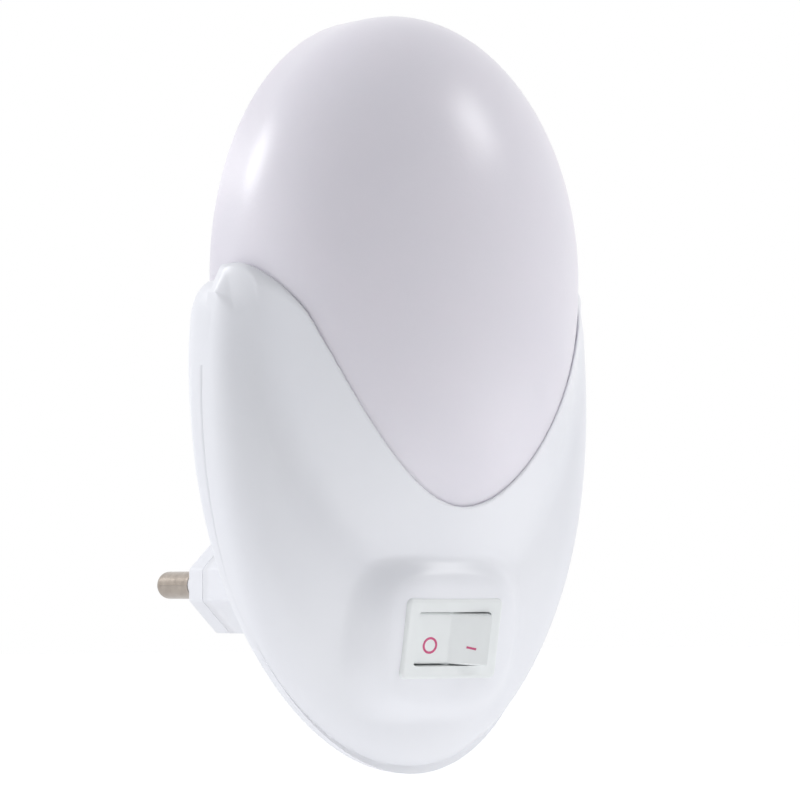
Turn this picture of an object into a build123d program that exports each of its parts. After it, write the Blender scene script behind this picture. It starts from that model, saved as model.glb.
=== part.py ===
from build123d import *
from math import atan2, cos, pi, radians, sin, sqrt
import os

os.makedirs("parts", exist_ok=True)

# Clearances shared by the whole light
overrun = 30.0
seam_gap = 0.2
slip_gap = 0.05
seat_gap = 0.1

# Plug, the flat two-pin pattern for 2.5 A
pin_spacing = 19.0
pin_diameter = 4.0
pin_length = 19.0
pin_bare_length = 9.0
pin_neck_diameter = 3.0
pin_tip_round = 1.2
pin_collar_diameter = 5.2
pin_collar_thickness = 1.2
pin_tail_length = 4.0
pin_tail_diameter = 2.4
sleeve_diameter = 3.8
plug_width = 35.3
plug_height = 13.7
plug_corner_cut = 4.6
plug_corner_round = 0.8
plug_face_round = 0.6
plug_length = 20.0
plug_wall = 2.0
plug_cap_thickness = 4.0
plug_spigot_length = 3.0

# Oval of the shell
oval_foot_drop = 26.0
oval_half_width = 31.5
oval_half_height = 53.0
side_height = 1.5
crown_height = 15.5
rim_share = 0.3016
wall = 2.0

# Back tray
back_depth = 6.0
back_edge_radius = 3.5
horn_solid_length = 11.2
horn_back_round = 3.4
horn_back_drop = 3.7

# Egg of the diffuser
egg_side_margin = 4.5
egg_top_margin = 1.0
egg_foot_margin = 25.0
egg_bulge = 25.0
egg_setback = 1.6
skirt_length = 4.0
diffuser_wall = 2.4
lip_thickness = 1.2
flange_reach = 2.5
lip_blend = 5.0

# U-shaped neck edge and the horns beside it, as shares of the oval's half width and half height
neck_drop_share = 0.3094
neck_round_share = 0.254
neck_waist_shares = (0.6095, 0.0283)
neck_waist_pull_shares = (0.1192, 0.1333)
horn_pull_shares = (0.1267, 0.1416)
horn_round_share = 0.0825
horn_shares = (0.8889, 0.3113)
horn_tip_radius = 1.2
horn_tip_turn = 65.0
neck_edge_round = 0.3

# Mound under the switch
switch_edge_rise = 18.7
switch_tilt = 11.0
mound_crown_drop = 2.2
mound_side_margin = 3.5
mound_end_margin = 3.6
mound_sink = 6.0
mound_foot_cover = 0.95
mound_spread_share = 0.815
mound_round = 3.0
mound_blend_share = 0.652

# Rocker switch
bezel_width = 16.0
bezel_height = 11.2
bezel_thickness = 1.9
bezel_recess = 1.4
bezel_corner = 0.9
bezel_edge = 0.6
switch_body_width = 13.6
switch_body_height = 9.0
switch_body_depth = 9.5
switch_floor = 1.0
opening_width = 12.2
opening_height = 7.5
opening_corner = 0.5
snap_depth = 3.2
snap_height = 3.0
snap_length = 2.0
snap_proud = 0.5
pivot_rise = 0.4
axle_diameter = 1.5
axle_reach = 4.6
rocker_throw = 22.0
rocker_end_radius = 5.95
rocker_end_angle = 20.0
rocker_middle_rise = 1.05
rocker_half_height = 3.55
rocker_under = 1.7
rocker_edge = 0.35
rocker_valley_round = 1.0
stem_width = 3.4
stem_drop = 5.0
stem_bore_diameter = 2.0
stem_bore_depth = 4.4
plunger_diameter = 1.8
plunger_length = 3.2
plunger_tip_drop = 6.6
plunger_tip_round = 0.7
spring_wire_diameter = 0.25
spring_turn_pitch = 0.7
lever_top_drop = 6.7
lever_thickness = 0.5
lever_width = 3.0
lever_half_length = 4.6
lever_swing = 16.0
fulcrum_radius = 0.35
fulcrum_drop = 0.1
tab_thickness = 0.6
tab_width = 2.8
tab_length = 3.2
end_tab_offset = 4.0
button_diameter = 2.0
button_height = 0.5
button_gap = 0.15
shelf_width = 2.4
shelf_thickness = 0.4
tab_sleeve_diameter = 3.8
tab_sleeve_wall = 0.35
tab_sleeve_length = 4.0

# Circuit board and its parts
board_width_share = 0.5556
board_height_share = 0.45
board_thickness = 1.6
board_corner = 2.0
board_lift = 2.0
board_forward = 8.0
post_margin = 3.5
post_diameter = 6.0
post_screw_diameter = 2.2
post_screw_length = 7.0
post_screw_head_diameter = 4.2
post_screw_head_height = 1.5
post_screw_head_round = 0.6
lamp_diameter = 4.8
lamp_flange_diameter = 5.6
lamp_flange_height = 1.0
lamp_height = 4.6
lamp_dome_radius = 2.0
lamp_leg_size = 0.5
lamp_leg_pitch = 2.54
lamp_leg_tail = 1.2
lamp_top_margin = 4.0
lamp_low_share = 0.5
lamp_film_gap = 3.0
film_width = 10.0
film_height = 6.0
film_depth = 8.8
film_drop_share = 0.5
film_corner = 0.6
can_diameter = 6.3
can_depth = 8.0
can_side_margin = 7.5
can_top_margin = 7.5
can_round = 0.6
can_groove = 0.3
can_groove_width = 0.5
can_groove_rise = 1.2
bridge_width = 8.0
bridge_height = 6.4
bridge_depth = 3.3
bridge_side_margin = 8.0
bridge_top_margin = 7.5
bridge_edge = 0.5
resistor_diameter = 2.4
resistor_length = 6.5
resistor_lead_diameter = 0.6
resistor_lead_span = 10.0
resistor_spacing = 3.6
resistor_round = 0.5
part_lift = 0.3

# Wires
wire_diameter = 1.5
wire_bend = 1.8
wire_hole_diameter = 1.7
feed_turn = 5.0
feed_reach = 6.2
feed_bend = 2.5
rear_run_back = 2.4
switched_hole_side_margin = 7.0
switched_hole_end_margin = 3.0
return_hole_side_margin = 2.0
return_hole_share = 0.5

# Screws that hold the two shells
side_screw_margin = 11.5
side_screw_drop = 8.0
low_screw_share = 0.5755
shell_boss_diameter = 6.8
boss_sink_share = 0.5
shell_screw_diameter = 2.4
shell_screw_grip = 6.0
shell_screw_head_diameter = 5.0
shell_screw_head_height = 1.8
shell_screw_head_round = 0.7
shell_recess_diameter = 5.6
shell_recess_depth = 3.0
driver_slot_width = 0.8
driver_slot_depth = 0.8
driver_slot_share = 0.6

# Places worked out from the sizes above
parting_y = -(plug_length + back_depth)
oval_rise = oval_half_height - oval_foot_drop
rim_radius = rim_share * oval_half_width
egg_half_width = oval_half_width - egg_side_margin
egg_half_height = oval_half_height - (egg_foot_margin + egg_top_margin) / 2
egg_rise = (egg_foot_margin - egg_top_margin) / 2
neck_drop = neck_drop_share * oval_half_height
horn_rise = horn_shares[1] * oval_half_height
switch_drop = oval_half_height - switch_edge_rise
mound_forward = crown_height - mound_crown_drop
mound_top_half_width = bezel_width / 2 + mound_side_margin
mound_top_half_height = bezel_height / 2 + mound_end_margin
switch_half_room = oval_half_width * sqrt(1 - (switch_drop / oval_half_height) ** 2)
mound_room = min(switch_half_room - mound_top_half_width, switch_edge_rise - mound_top_half_height)
mound_spread = mound_spread_share * mound_room
mound_blend = mound_blend_share * mound_room
mound_foot_height = mound_forward - mound_sink * cos(radians(switch_tilt)) + mound_foot_cover
mound_foot_drop = mound_foot_height - side_height
mound_foot_reach = oval_half_width - rim_radius + sqrt(rim_radius**2 - mound_foot_drop**2)
mound_foot_lean = switch_drop * oval_half_width / oval_half_height
mound_foot_half_width = sqrt(mound_foot_reach**2 - mound_foot_lean**2)
front_view = Plane((0, parting_y, oval_rise), x_dir=(1, 0, 0), z_dir=(0, -1, 0))
plug_face = Plane.XZ
tilt = radians(switch_tilt)
mound_plane = Plane(
    (0, parting_y - mound_forward, oval_rise - switch_drop),
    x_dir=(1, 0, 0),
    z_dir=(0, -cos(tilt), -sin(tilt)),
)
switch_plane = mound_plane.offset(-bezel_recess)
switch_axis = Axis(switch_plane.origin, switch_plane.z_dir)
across = Vector(1, 0, 0)
outward = switch_plane.z_dir
downward = across.cross(outward)
throw = radians(rocker_throw / 2)
swing = radians(lever_swing / 2)
pivot = switch_plane.offset(pivot_rise).origin
axle_plane = Plane(pivot, x_dir=across, z_dir=downward)
rocker_across = across * cos(throw) + outward * sin(throw)
rocker_side = Plane(pivot, x_dir=rocker_across, z_dir=downward)
rocker_top = Plane(pivot, x_dir=rocker_across, z_dir=outward * cos(throw) - across * sin(throw))
rocker_axis = Axis(pivot, downward)
stem_axis = Axis(pivot, rocker_top.z_dir)
fulcrum_depth = lever_top_drop + lever_thickness + fulcrum_drop
fulcrum = pivot - outward * fulcrum_depth
fulcrum_side = Plane(fulcrum, x_dir=across, z_dir=downward)
lever_side = Plane(fulcrum, x_dir=across * cos(swing) - outward * sin(swing), z_dir=downward)
pin_places = ((-pin_spacing / 2, 0), (pin_spacing / 2, 0))
side_screw_offset = oval_half_width - side_screw_margin
low_screw_drop = oval_half_height - low_screw_share * (switch_edge_rise - switch_body_height / 2)
screw_places = (
    (-side_screw_offset, -side_screw_drop),
    (side_screw_offset, -side_screw_drop),
    (0, -low_screw_drop),
)
board_half_width = board_width_share * egg_half_width
board_half_height = board_height_share * egg_half_height
board_rise = egg_rise + board_lift
post_offset = board_half_width - post_margin
lamp_top_rise = board_half_height - lamp_top_margin
lamp_low_drop = lamp_low_share * board_half_height
lamp_low_offset = film_width / 2 + lamp_film_gap
board_back = board_forward - board_thickness
board_places = ((-post_offset, board_rise), (post_offset, board_rise))
lamp_places = (
    (0, board_rise + lamp_top_rise),
    (-lamp_low_offset, board_rise - lamp_low_drop),
    (lamp_low_offset, board_rise - lamp_low_drop),
)


# Solids that several pieces share
def oval_dome(inset):
    """Front form of the shell: straight side, rounded rim and shallow crown over the oval."""
    half_width = oval_half_width - inset
    height = crown_height - inset
    rim = rim_radius - inset
    reach = half_width - rim
    above = height - rim
    crown_middle = (above**2 - side_height**2 - reach**2) / (2 * (above - side_height))
    crown_radius = height - crown_middle
    meet_share = crown_radius / (crown_radius - rim)
    meet = (meet_share * reach, -(crown_middle + meet_share * (side_height - crown_middle)))
    with BuildPart() as body:
        with BuildSketch(Plane.XY):
            with BuildLine():
                Polyline((0, -height), (0, 0), (half_width, 0), (half_width, -side_height))
                RadiusArc((half_width, -side_height), meet, rim)
                RadiusArc(meet, (0, -height), crown_radius)
            make_face()
        revolve(axis=Axis.Y)
        scale(by=(1, 1, (oval_half_height - inset) / half_width))
    return Pos(0, parting_y, oval_rise) * body.part


def back_tray(inset, edge_radius):
    """Rear form of the shell: the oval with a rounded back edge."""
    half_width = oval_half_width - inset
    depth = back_depth - inset
    with BuildPart() as body:
        with BuildSketch(Plane.XY):
            with BuildLine():
                Polyline((0, depth), (0, 0), (half_width, 0), (half_width, depth - edge_radius))
                edge_end = (half_width - edge_radius, depth)
                RadiusArc((half_width, depth - edge_radius), edge_end, -edge_radius)
                Line(edge_end, (0, depth))
            make_face()
        revolve(axis=Axis.Y)
        scale(by=(1, 1, (oval_half_height - inset) / half_width))
    return Pos(0, parting_y, oval_rise) * body.part


def egg(inset):
    """Ellipsoid of the diffuser, drawn in by the inset on every side."""
    half_width = egg_half_width - inset
    with BuildPart() as body:
        Sphere(half_width, rotation=(90, 0, 0))
        scale(by=(1, (egg_bulge - inset) / half_width, (egg_half_height - inset) / half_width))
    return Pos(0, parting_y + egg_setback, oval_rise + egg_rise) * body.part


def neck_prism(grow):
    """Space above the U edge and the horns, seen from the front, grown by about an even margin."""
    size = Vector(oval_half_width, oval_half_height)
    bottom = -neck_drop - grow
    low_pull = Vector(neck_waist_pull_shares[0] * size.X, neck_waist_pull_shares[1] * size.Y)
    high_pull = Vector(horn_pull_shares[0] * size.X, horn_pull_shares[1] * size.Y)
    lean = atan2(low_pull.Y, low_pull.X)
    waist = Vector(
        neck_waist_shares[0] * size.X + grow * sin(lean),
        neck_waist_shares[1] * size.Y - grow * cos(lean),
    )
    tip = Vector(horn_shares[0] * size.X, horn_rise - grow)
    tip_pull = Vector(horn_round_share * size.X, 0)
    ceiling = oval_half_height + overrun
    with BuildPart() as body:
        with BuildSketch(front_view.offset(-back_depth - overrun)):
            with BuildLine():
                Bezier((0, bottom), (neck_round_share * size.X, bottom), waist - low_pull, waist)
                Bezier(waist, waist + high_pull, tip - tip_pull, tip)
                shoulder = JernArc(tip, (1, 0), horn_tip_radius, -horn_tip_turn)
                away = PolarLine(shoulder @ 1, overrun, direction=shoulder % 1)
                Polyline(away @ 1, ((away @ 1).X, ceiling), (0, ceiling), (0, bottom))
            make_face()
            mirror(about=Plane.YZ)
        extrude(amount=back_depth + egg_bulge + 2 * overrun)
    return body.part


egg_outer = egg(0)
egg_lip = egg(lip_thickness)
egg_flange = egg(lip_thickness + seam_gap)
egg_hollow = egg(diffuser_wall)
neck = neck_prism(0)


# Front housing: the cradle with its horns, lip and mound
with BuildPart() as mound:
    with BuildSketch(mound_plane):
        Ellipse(mound_top_half_width, mound_top_half_height)
    with BuildSketch(mound_plane.offset(-mound_sink)):
        foot_half_width = min(mound_top_half_width + mound_spread, mound_foot_half_width)
        Ellipse(foot_half_width, mound_top_half_height + mound_spread)
    loft()
    fillet(mound.faces().sort_by(switch_axis)[-1].edges(), radius=mound_round)

with BuildPart() as front_hollow:
    add(oval_dome(wall))
    add(neck_prism(wall), mode=Mode.SUBTRACT)
    add(egg_lip)

with BuildPart() as screw_bosses:
    with BuildSketch(front_view):
        with Locations(*screw_places):
            Circle(shell_boss_diameter / 2)
    extrude(amount=crown_height)
    add(oval_dome(boss_sink_share * wall), mode=Mode.INTERSECT)
    add(neck_prism(flange_reach + seam_gap), mode=Mode.SUBTRACT)

with BuildPart() as front_housing:
    add(oval_dome(0))
    add(mound.part)
    fillet(front_housing.edges(Select.NEW), radius=mound_blend)
    add(egg_outer)
    crease_limit = parting_y - side_height
    crease = front_housing.edges(Select.NEW).filter_by(lambda edge: (edge @ 0.5).Y < crease_limit)
    fillet(crease, radius=lip_blend)
    with BuildSketch(front_view):
        Rectangle(2 * oval_half_width + overrun, 2 * oval_half_height + overrun)
    extrude(amount=crown_height + overrun, mode=Mode.INTERSECT)
    add(neck, mode=Mode.SUBTRACT)
    rim_limit = parting_y - side_height / 2
    neck_edge = front_housing.edges(Select.NEW).filter_by(
        lambda edge: max((edge @ 0).Y, (edge @ 1).Y) < rim_limit
    )
    fillet(neck_edge, radius=neck_edge_round)
    add(front_hollow.part, mode=Mode.SUBTRACT)
    add(screw_bosses.part)
    with BuildSketch(front_view):
        with Locations(*screw_places):
            Circle(shell_screw_diameter / 2 + slip_gap)
    extrude(amount=shell_screw_grip + seat_gap, mode=Mode.SUBTRACT)
    with BuildSketch(switch_plane.offset(-overrun / 2)):
        Rectangle(switch_body_width + seam_gap, switch_body_height + seam_gap)
    extrude(amount=overrun, mode=Mode.SUBTRACT)
    with BuildSketch(switch_plane):
        Rectangle(bezel_width + 2 * seam_gap, bezel_height + 2 * seam_gap)
    extrude(amount=overrun, mode=Mode.SUBTRACT)
front_housing.part.label = "front_housing"
export_step(front_housing.part, "parts/front_housing.step")
print("front_housing", front_housing.part.is_valid, len(front_housing.solids()))

# Diffuser: the opal egg with its hidden flange and its skirt
with BuildPart() as diffuser_hollow:
    add(egg_hollow)
    with BuildSketch(front_view.offset(-egg_setback)):
        with Locations((0, egg_rise)):
            Ellipse(egg_half_width - diffuser_wall, egg_half_height - diffuser_wall)
    extrude(amount=-skirt_length - overrun)

with BuildPart() as diffuser_flange:
    add(egg_flange)
    with BuildSketch(front_view.offset(-egg_setback)):
        Rectangle(2 * oval_half_width + overrun, 2 * oval_half_height + overrun)
    extrude(amount=egg_bulge + overrun, mode=Mode.INTERSECT)
    add(neck_prism(flange_reach), mode=Mode.INTERSECT)

with BuildPart() as diffuser:
    add(egg_outer)
    with BuildSketch(front_view.offset(-egg_setback)):
        Rectangle(2 * oval_half_width + overrun, 2 * oval_half_height + overrun)
    extrude(amount=egg_bulge + overrun, mode=Mode.INTERSECT)
    with BuildSketch(front_view.offset(-egg_setback)):
        with Locations((0, egg_rise)):
            Ellipse(egg_half_width, egg_half_height)
    extrude(amount=-skirt_length)
    add(neck_prism(-seam_gap), mode=Mode.INTERSECT)
    add(diffuser_flange.part)
    add(diffuser_hollow.part, mode=Mode.SUBTRACT)
diffuser.part.label = "diffuser"
export_step(diffuser.part, "parts/diffuser.step")
print("diffuser", diffuser.part.is_valid, len(diffuser.solids()))

# Back shell: shallow tray, upper plate inside the skirt and the plug's shroud
with BuildPart() as back_hollow:
    add(back_tray(wall, back_edge_radius - wall))
    with BuildSketch(front_view):
        with Locations((0, horn_rise - horn_solid_length)):
            Rectangle(2 * oval_half_width, 2 * oval_half_height, align=(Align.CENTER, Align.MAX))
    extrude(amount=-back_depth, mode=Mode.INTERSECT)

horn_corner = Plane(
    (0, parting_y + back_depth - horn_back_round, oval_rise + horn_rise - horn_back_drop - horn_back_round),
    x_dir=(0, 1, 0),
    z_dir=(1, 0, 0),
)
with BuildPart() as back_shell:
    add(back_tray(0, back_edge_radius))
    add(neck, mode=Mode.SUBTRACT)
    with BuildSketch(horn_corner):
        Rectangle(overrun, overrun, align=(Align.MIN, Align.MIN))
        Circle(horn_back_round, mode=Mode.SUBTRACT)
    extrude(amount=oval_half_width + overrun, both=True, mode=Mode.SUBTRACT)
    add(back_hollow.part, mode=Mode.SUBTRACT)
    with BuildSketch(front_view):
        with Locations((0, egg_rise)):
            Ellipse(egg_half_width - lip_thickness, egg_half_height - lip_thickness)
    extrude(amount=-egg_setback - seam_gap, mode=Mode.SUBTRACT)
    with BuildSketch(front_view.offset(wall - back_depth)):
        with Locations((0, egg_rise)):
            plate_inset = diffuser_wall + seam_gap
            Ellipse(egg_half_width - plate_inset, egg_half_height - plate_inset)
    extrude(amount=-wall)
    with BuildSketch(plug_face.offset(plug_cap_thickness)) as shroud:
        Rectangle(plug_width, plug_height)
        chamfer(shroud.vertices(), length=plug_corner_cut)
        fillet(shroud.vertices(), radius=plug_corner_round)
    extrude(amount=plug_length - plug_cap_thickness)
    with BuildSketch(front_view.offset(-back_depth)):
        with Locations(*screw_places):
            Circle(shell_boss_diameter / 2)
    extrude(amount=back_depth)
    with BuildSketch(front_view.offset(wall - back_depth)):
        with Locations(*board_places):
            Circle(post_diameter / 2)
    extrude(amount=back_depth - wall + board_back)
    with BuildSketch(plug_face.offset(plug_cap_thickness)) as shroud_hollow:
        Rectangle(plug_width - 2 * plug_wall, plug_height - 2 * plug_wall)
        chamfer(shroud_hollow.vertices(), length=plug_corner_cut - plug_wall / 2)
    extrude(amount=plug_length - plug_cap_thickness + wall, mode=Mode.SUBTRACT)
    with BuildSketch(front_view):
        with Locations(*screw_places):
            Circle(shell_screw_diameter / 2 + seat_gap)
    extrude(amount=-back_depth, mode=Mode.SUBTRACT)
    with BuildSketch(front_view.offset(-back_depth)):
        with Locations(*screw_places):
            Circle(shell_recess_diameter / 2)
    extrude(amount=shell_recess_depth, mode=Mode.SUBTRACT)
    with BuildSketch(front_view.offset(board_back)):
        with Locations(*board_places):
            Circle(post_screw_diameter / 2 + slip_gap)
    extrude(amount=-post_screw_length, mode=Mode.SUBTRACT)
back_shell.part.label = "back_shell"
export_step(back_shell.part, "parts/back_shell.step")
print("back_shell", back_shell.part.is_valid, len(back_shell.solids()))

# Plug end, pins and sleeves
with BuildPart() as plug_cap:
    with BuildSketch(plug_face) as cap_outline:
        Rectangle(plug_width, plug_height)
        chamfer(cap_outline.vertices(), length=plug_corner_cut)
        fillet(cap_outline.vertices(), radius=plug_corner_round)
    extrude(amount=plug_cap_thickness - seat_gap)
    fillet(plug_cap.faces().sort_by(Axis.Y)[-1].edges(), radius=plug_face_round)
    with BuildSketch(plug_face.offset(plug_cap_thickness - seat_gap)) as spigot:
        inside = 2 * plug_wall + 2 * seat_gap
        Rectangle(plug_width - inside, plug_height - inside)
        chamfer(spigot.vertices(), length=plug_corner_cut - plug_wall / 2)
    extrude(amount=plug_spigot_length)
    with BuildSketch(plug_face):
        with Locations(*pin_places):
            Circle(pin_diameter / 2 + slip_gap)
    extrude(amount=plug_cap_thickness + plug_spigot_length, mode=Mode.SUBTRACT)
    with BuildSketch(plug_face.offset(plug_cap_thickness + plug_spigot_length - pin_collar_thickness)):
        with Locations(*pin_places):
            Circle(pin_collar_diameter / 2 + slip_gap)
    extrude(amount=pin_collar_thickness, mode=Mode.SUBTRACT)
plug_cap.part.label = "plug_cap"
export_step(plug_cap.part, "parts/plug_cap.step")

pin_seat = plug_cap_thickness + plug_spigot_length - pin_collar_thickness
sleeve_length = pin_length - pin_bare_length
pin_end = pin_seat + pin_collar_thickness + pin_tail_length
pin_radius = pin_diameter / 2
neck_radius = pin_neck_diameter / 2
collar_radius = pin_collar_diameter / 2
collar_end = pin_seat + pin_collar_thickness
pin_middle = Plane((pin_spacing / 2, 0, 0), x_dir=(1, 0, 0), z_dir=(0, 0, 1))
with BuildPart() as plug_pins:
    with BuildSketch(pin_middle):
        with BuildLine():
            Line((pin_radius, sleeve_length), (pin_radius, pin_length - pin_tip_round))
            tip_start = (pin_radius, pin_length - pin_tip_round)
            tip_end = (pin_radius - pin_tip_round, pin_length)
            RadiusArc(tip_start, tip_end, -pin_tip_round)
            Polyline(tip_end, (0, pin_length), (0, -pin_end), (pin_tail_diameter / 2, -pin_end))
            Polyline(
                (pin_tail_diameter / 2, -pin_end),
                (pin_tail_diameter / 2, -collar_end),
                (collar_radius, -collar_end),
                (collar_radius, -pin_seat),
                (pin_radius, -pin_seat),
                (pin_radius, 0),
                (neck_radius, 0),
                (neck_radius, sleeve_length),
                (pin_radius, sleeve_length),
            )
        make_face()
    revolve(axis=Axis(pin_middle.origin, pin_middle.y_dir))
    mirror(about=Plane.YZ)
plug_pins.part.label = "plug_pins"
export_step(plug_pins.part, "parts/plug_pins.step")

with BuildPart() as shank_sleeves:
    with BuildSketch(plug_face.offset(-sleeve_length + slip_gap)):
        with Locations(*pin_places):
            Circle(sleeve_diameter / 2)
            Circle(pin_neck_diameter / 2 + slip_gap, mode=Mode.SUBTRACT)
    extrude(amount=sleeve_length - 2 * slip_gap)
shank_sleeves.part.label = "shank_sleeves"
export_step(shank_sleeves.part, "parts/shank_sleeves.step")
print("plug", plug_cap.part.is_valid, plug_pins.part.is_valid, shank_sleeves.part.is_valid)

# Switch frame
tab_places = ((0, 0), (-end_tab_offset, 0))
with BuildPart() as switch_frame:
    with BuildSketch(switch_plane):
        RectangleRounded(bezel_width, bezel_height, bezel_corner)
    extrude(amount=bezel_thickness)
    fillet(switch_frame.faces().sort_by(switch_axis)[-1].edges(), radius=bezel_edge)
    with BuildSketch(switch_plane):
        Rectangle(switch_body_width, switch_body_height)
    extrude(amount=-switch_body_depth)
    with BuildSketch(switch_plane.offset(-snap_depth)):
        Rectangle(switch_body_width + 2 * snap_proud, snap_height)
    extrude(amount=-snap_length)
    with BuildSketch(switch_plane.offset(bezel_thickness)):
        RectangleRounded(opening_width, opening_height, opening_corner)
    extrude(amount=-bezel_thickness - switch_body_depth + switch_floor, mode=Mode.SUBTRACT)
    with BuildSketch(switch_plane.offset(-switch_body_depth)):
        with Locations(*tab_places):
            Rectangle(tab_thickness + seam_gap, tab_width + seam_gap)
    extrude(amount=switch_floor, mode=Mode.SUBTRACT)
    with BuildSketch(axle_plane):
        Circle(axle_diameter / 2 + slip_gap)
    extrude(amount=axle_reach + seat_gap, both=True, mode=Mode.SUBTRACT)
switch_frame.part.label = "switch_frame"
export_step(switch_frame.part, "parts/switch_frame.step")

# Rocker with its axle stubs and hollow stem, shown in the OFF position
end_angle = radians(rocker_end_angle)
under_reach = sqrt(rocker_end_radius**2 - rocker_under**2)
with BuildPart() as rocker_button:
    with BuildSketch(Plane.XY) as button_outline:
        with BuildLine():
            top_right = (rocker_end_radius * cos(end_angle), rocker_end_radius * sin(end_angle))
            top_left = (-top_right[0], top_right[1])
            Polyline(top_left, (0, rocker_middle_rise), top_right)
            ThreePointArc(top_right, (rocker_end_radius, 0), (under_reach, -rocker_under))
            Line((under_reach, -rocker_under), (-under_reach, -rocker_under))
            ThreePointArc((-under_reach, -rocker_under), (-rocker_end_radius, 0), top_left)
        make_face()
        valley = button_outline.vertices().sort_by_distance((0, rocker_middle_rise))[0]
        fillet(valley, radius=rocker_valley_round)
    extrude(amount=rocker_half_height, both=True)
    fillet(rocker_button.edges().filter_by(Axis.Z, reverse=True), radius=rocker_edge)

with BuildPart() as rocker:
    add(rocker_button.part.moved(rocker_side.location))
    with BuildSketch(rocker_top.offset(-rocker_under)):
        Rectangle(stem_width, stem_width)
    extrude(amount=rocker_under - stem_drop)
    with BuildSketch(rocker_side):
        Circle(axle_diameter / 2)
    extrude(amount=axle_reach, both=True)
    with BuildSketch(rocker_top.offset(-stem_drop)):
        Circle(stem_bore_diameter / 2)
    extrude(amount=stem_bore_depth, mode=Mode.SUBTRACT)
rocker.part.label = "rocker"
export_step(rocker.part, "parts/rocker.step")
print("switch", switch_frame.part.is_valid, rocker.part.is_valid)

# Plunger and coil spring in the rocker's stem
with BuildPart() as rocker_plunger:
    with BuildSketch(rocker_top.offset(-plunger_tip_drop)):
        Circle(plunger_diameter / 2)
    extrude(amount=plunger_length)
    fillet(rocker_plunger.faces().sort_by(stem_axis)[0].edges(), radius=plunger_tip_round)
rocker_plunger.part.label = "rocker_plunger"
export_step(rocker_plunger.part, "parts/rocker_plunger.step")

spring_start = plunger_tip_drop - plunger_length - spring_wire_diameter / 2 - slip_gap
spring_room = spring_start - (stem_drop - stem_bore_depth) - spring_wire_diameter / 2 - slip_gap
with BuildPart() as rocker_spring:
    with BuildLine() as coil:
        Helix(
            spring_turn_pitch,
            spring_room,
            (plunger_diameter - spring_wire_diameter) / 2,
            center=rocker_top.offset(-spring_start).origin,
            direction=rocker_top.z_dir,
        )
    with BuildSketch(Plane(coil.edges()[0] @ 0, z_dir=coil.edges()[0] % 0)):
        Circle(spring_wire_diameter / 2)
    sweep(path=coil.edges()[0], is_frenet=True)
rocker_spring.part.label = "rocker_spring"
export_step(rocker_spring.part, "parts/rocker_spring.step")
print("spring", rocker_spring.part.is_valid, "least gap", spring_turn_pitch - spring_wire_diameter)

# See-saw contact and the two terminals
with BuildPart() as contact_lever:
    with BuildSketch(lever_side):
        with Locations((0, fulcrum_drop + lever_thickness / 2)):
            Rectangle(2 * lever_half_length, lever_thickness)
        Circle(fulcrum_radius + slip_gap, mode=Mode.SUBTRACT)
    extrude(amount=lever_width / 2, both=True)
contact_lever.part.label = "contact_lever"
export_step(contact_lever.part, "parts/contact_lever.step")

tab_end = switch_body_depth + tab_length + pivot_rise - fulcrum_depth
with BuildPart() as centre_terminal:
    with BuildSketch(fulcrum_side):
        Rectangle(tab_thickness, tab_end, align=(Align.CENTER, Align.MAX))
        Circle(fulcrum_radius)
    extrude(amount=tab_width / 2, both=True)
centre_terminal.part.label = "centre_terminal"
export_step(centre_terminal.part, "parts/centre_terminal.step")

touch_drop = (end_tab_offset * sin(swing) - fulcrum_drop) / cos(swing) + button_gap
with BuildPart() as end_terminal:
    with BuildSketch(fulcrum_side):
        with Locations((-end_tab_offset, -touch_drop - button_height)):
            Rectangle(tab_thickness, tab_end - touch_drop - button_height, align=(Align.CENTER, Align.MAX))
            Rectangle(shelf_width, shelf_thickness, align=(Align.CENTER, Align.MAX))
    extrude(amount=tab_width / 2, both=True)
    with BuildSketch(switch_plane.offset(pivot_rise - fulcrum_depth - touch_drop - button_height)):
        with Locations((-end_tab_offset, 0)):
            Circle(button_diameter / 2)
    extrude(amount=button_height)
end_terminal.part.label = "end_terminal"
export_step(end_terminal.part, "parts/end_terminal.step")

with BuildPart() as terminal_sleeves:
    with BuildSketch(switch_plane.offset(-switch_body_depth - seat_gap)):
        with Locations(*tab_places):
            Circle(tab_sleeve_diameter / 2)
            Circle(tab_sleeve_diameter / 2 - tab_sleeve_wall, mode=Mode.SUBTRACT)
    extrude(amount=-tab_sleeve_length)
terminal_sleeves.part.label = "terminal_sleeves"
export_step(terminal_sleeves.part, "parts/terminal_sleeves.step")
print("contacts", contact_lever.part.is_valid, centre_terminal.part.is_valid, end_terminal.part.is_valid)

# Circuit board
board_plane = front_view.offset(board_forward)
board_back_plane = front_view.offset(board_back)
leg_places = tuple((x + side * lamp_leg_pitch / 2, z) for x, z in lamp_places for side in (-1, 1))
board_low = board_rise - board_half_height
wire_places = (
    (switched_hole_side_margin - board_half_width, board_low + switched_hole_end_margin),
    (return_hole_side_margin - board_half_width, board_rise - return_hole_share * board_half_height),
)
with BuildPart() as circuit_board:
    with BuildSketch(board_back_plane):
        with Locations((0, board_rise)):
            RectangleRounded(2 * board_half_width, 2 * board_half_height, board_corner)
        with Locations(*board_places):
            Circle(post_screw_diameter / 2 + seat_gap, mode=Mode.SUBTRACT)
        with Locations(*leg_places):
            Circle(lamp_leg_size, mode=Mode.SUBTRACT)
        with Locations(*wire_places):
            Circle(wire_hole_diameter / 2, mode=Mode.SUBTRACT)
    extrude(amount=board_thickness)
circuit_board.part.label = "circuit_board"
export_step(circuit_board.part, "parts/circuit_board.step")

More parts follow.
